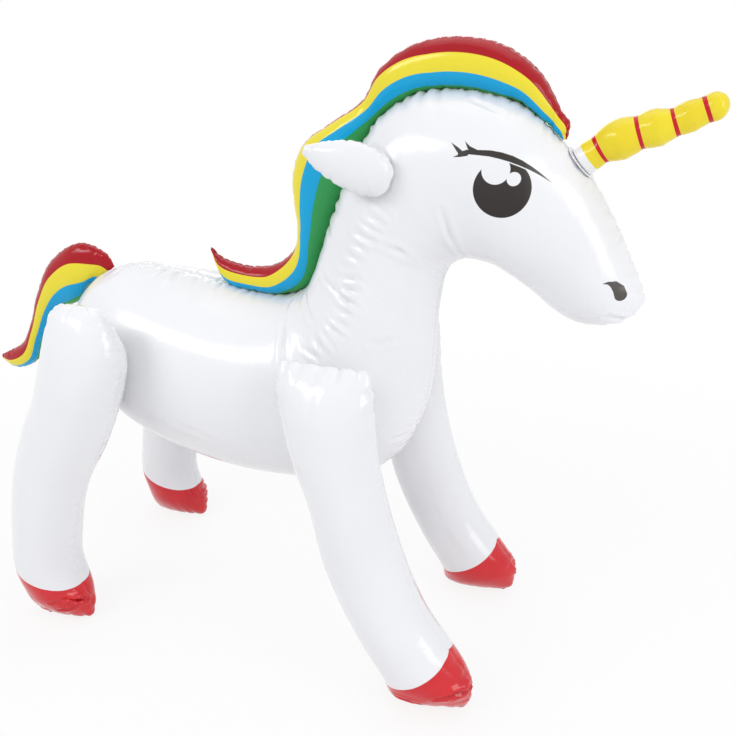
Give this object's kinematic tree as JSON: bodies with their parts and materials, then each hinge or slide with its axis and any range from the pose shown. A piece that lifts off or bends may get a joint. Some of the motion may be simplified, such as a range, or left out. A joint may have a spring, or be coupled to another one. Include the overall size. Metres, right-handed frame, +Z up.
{
  "type": "inflatable unicorn figure",
  "caption": "Free-standing inflatable unicorn figure of welded film panels with swinging legs, swivelling ears, a tail and a push-in air valve.",
  "frame": {"origin": "on the ground, under the middle of the figure's bounding box", "axes": "+X is the way the figure faces, +Y its left side, +Z up"},
  "size_m": [0.8565, 0.3432, 0.6699],
  "materials": {
    "white_film": "gloss",
    "striped_film": "gloss",
    "yellow_film": "gloss",
    "clear_vinyl": "gloss"
  },
  "bodies": {
    "figure": {"body_film_left": "white_film", "body_film_right": "white_film", "mane_film_left": "striped_film", "mane_film_right": "striped_film", "horn_collar": "clear_vinyl", "horn_film_left": "yellow_film", "horn_film_right": "yellow_film", "valve_flange": "clear_vinyl"},
    "leg_fore_right": {"leg_fore_right_film_outer": "white_film", "leg_fore_right_film_inner": "white_film"},
    "leg_fore_left": {"leg_fore_left_film_outer": "white_film", "leg_fore_left_film_inner": "white_film"},
    "leg_hind_right": {"leg_hind_right_film_outer": "white_film", "leg_hind_right_film_inner": "white_film"},
    "leg_hind_left": {"leg_hind_left_film_outer": "white_film", "leg_hind_left_film_inner": "white_film"},
    "ear_right": {"ear_right_film_outer": "white_film", "ear_right_film_inner": "white_film"},
    "ear_left": {"ear_left_film_outer": "white_film", "ear_left_film_inner": "white_film"},
    "tail": {"tail_film_left": "striped_film", "tail_film_right": "striped_film"},
    "valve_stem": {"valve_stem": "clear_vinyl", "valve_plug_tether": "clear_vinyl"},
    "valve_plug": {"valve_plug": "clear_vinyl"},
    "valve_flap": {"valve_flap": "clear_vinyl"}
  },
  "joints": [
    {"name": "fore_right_swing", "type": "hinge", "parent": "figure", "child": "leg_fore_right", "pos_m": [0.1, -0.087, 0.325], "axis": [0, 1, 0], "range_deg": [-10, 10], "stiffness_Nm_per_rad": 4},
    {"name": "fore_left_swing", "type": "hinge", "parent": "figure", "child": "leg_fore_left", "pos_m": [0.1, 0.087, 0.325], "axis": [0, 1, 0], "range_deg": [-10, 10], "stiffness_Nm_per_rad": 4},
    {"name": "hind_right_swing", "type": "hinge", "parent": "figure", "child": "leg_hind_right", "pos_m": [-0.192, -0.09, 0.335], "axis": [0, 1, 0], "range_deg": [-10, 10], "stiffness_Nm_per_rad": 4},
    {"name": "hind_left_swing", "type": "hinge", "parent": "figure", "child": "leg_hind_left", "pos_m": [-0.192, 0.09, 0.335], "axis": [0, 1, 0], "range_deg": [-10, 10], "stiffness_Nm_per_rad": 4},
    {"name": "ear_right_swivel", "type": "hinge", "parent": "figure", "child": "ear_right", "pos_m": [0.131, -0.058, 0.549], "axis": [0, 1, 0], "range_deg": [-15, 15], "stiffness_Nm_per_rad": 0.05},
    {"name": "ear_left_swivel", "type": "hinge", "parent": "figure", "child": "ear_left", "pos_m": [0.131, 0.058, 0.549], "axis": [0, 1, 0], "range_deg": [-15, 15], "stiffness_Nm_per_rad": 0.05},
    {"name": "tail_wag", "type": "hinge", "parent": "figure", "child": "tail", "pos_m": [-0.2453, 0, 0.4022], "axis": [0.8363, 0, 0.5483], "range_deg": [-25, 25], "stiffness_Nm_per_rad": 0.1},
    {"name": "valve_pop_out", "type": "slide", "parent": "figure", "child": "valve_stem", "axis": [-0.1879, 0.6546, -0.7323], "range_m": [0, 0.01]},
    {"name": "plug_pull", "type": "slide", "parent": "valve_stem", "child": "valve_plug", "axis": [-0.1879, 0.6546, -0.7323], "range_m": [0, 0.012]},
    {"name": "flap_open", "type": "hinge", "parent": "valve_stem", "child": "valve_flap", "pos_m": [-0.1177, 0.06024, 0.23862], "axis": [-0.9822, -0.1252, 0.1401], "range_deg": [0, 60], "stiffness_Nm_per_rad": 0.001}
  ]
}
